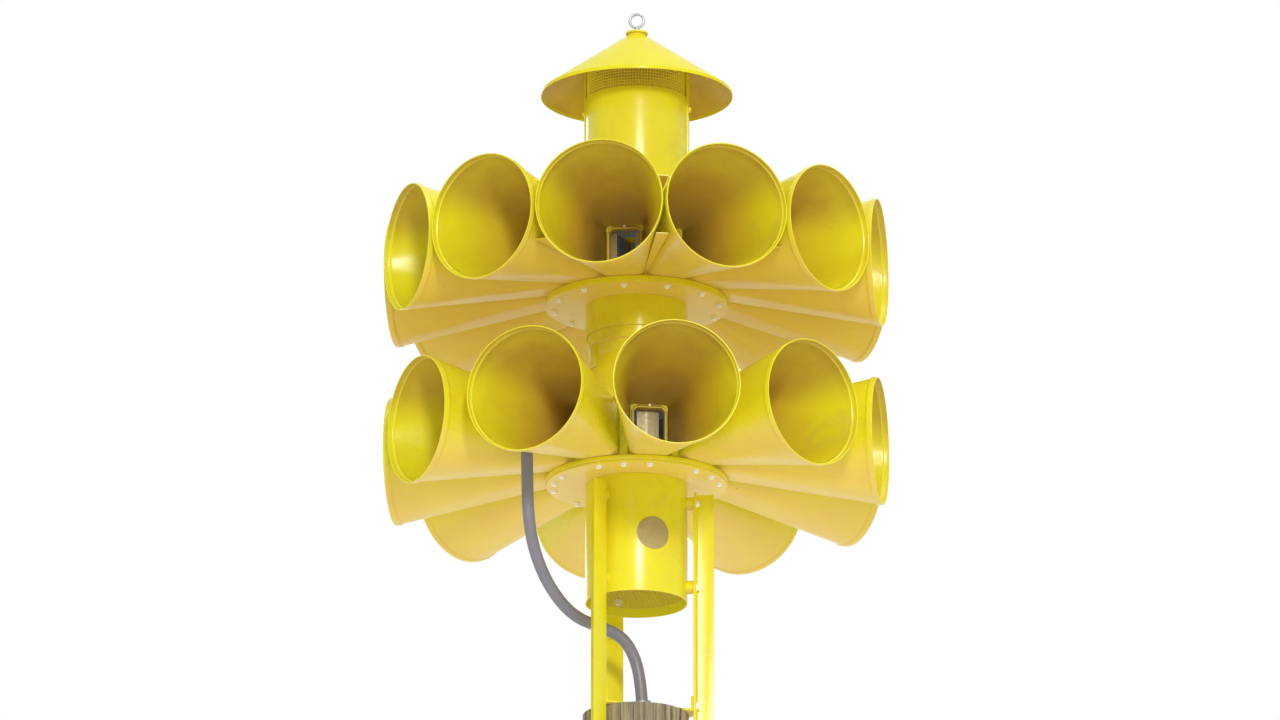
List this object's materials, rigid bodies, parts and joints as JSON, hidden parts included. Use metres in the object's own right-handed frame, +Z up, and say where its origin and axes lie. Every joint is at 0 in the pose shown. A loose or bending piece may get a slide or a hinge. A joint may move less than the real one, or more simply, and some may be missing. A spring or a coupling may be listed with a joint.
{
  "type": "civil defense siren on a wood pole",
  "caption": "Two-tier electric siren with round horns in rings, a motor between them and a rain cap, on three angle-iron legs over a tall wood pole.",
  "frame": {"origin": "centre of the pole's round foot at ground level", "axes": "+Z up along the pole's axis, -Y the front, where one upper horn points"},
  "size_m": [1.4, 1.4438, 15.189],
  "materials": {
    "yellow_paint": "semi-gloss yellow paint, weathered",
    "pole_wood": "weathered, treated wood",
    "bare_alloy": "cast, dull",
    "galvanised_steel": "galvanised, dull",
    "conduit_jacket": "grey jacket"
  },
  "bodies": {
    "tower": {"cap_strap_left": "yellow_paint", "cap_strap_right": "yellow_paint", "conduit_gland": "galvanised_steel", "conduit_hub": "galvanised_steel", "leg_front_left": "yellow_paint", "leg_pole_spacers": "yellow_paint", "leg_rear_left": "yellow_paint", "leg_right": "yellow_paint", "leg_standoffs": "yellow_paint", "lifting_eye": "galvanised_steel", "lower_bottom_plate": "yellow_paint", "lower_clamp_ring": "yellow_paint", "lower_duct": "yellow_paint", "lower_horns": "yellow_paint", "lower_intake_screen": "galvanised_steel", "lower_stator_drum": "yellow_paint", "lower_top_plate": "yellow_paint", "motor_housing": "yellow_paint", "motor_lower_skirt": "yellow_paint", "motor_upper_skirt": "yellow_paint", "pole_cap_plate": "yellow_paint", "power_conduit": "conduit_jacket", "rain_cap": "yellow_paint", "upper_bottom_plate": "yellow_paint", "upper_duct": "yellow_paint", "upper_horns": "yellow_paint", "upper_intake_screen": "galvanised_steel", "upper_stator_drum": "yellow_paint", "upper_top_plate": "yellow_paint", "wood_pole": "pole_wood"},
    "rotor": {"rotor_shaft": "galvanised_steel", "upper_rotor": "bare_alloy", "lower_rotor": "bare_alloy"}
  },
  "joints": [
    {"name": "rotor_spin", "type": "hinge", "parent": "tower", "child": "rotor", "pos_m": [0, 0, 13.88], "axis": [0, 0, 1], "continuous": true}
  ]
}
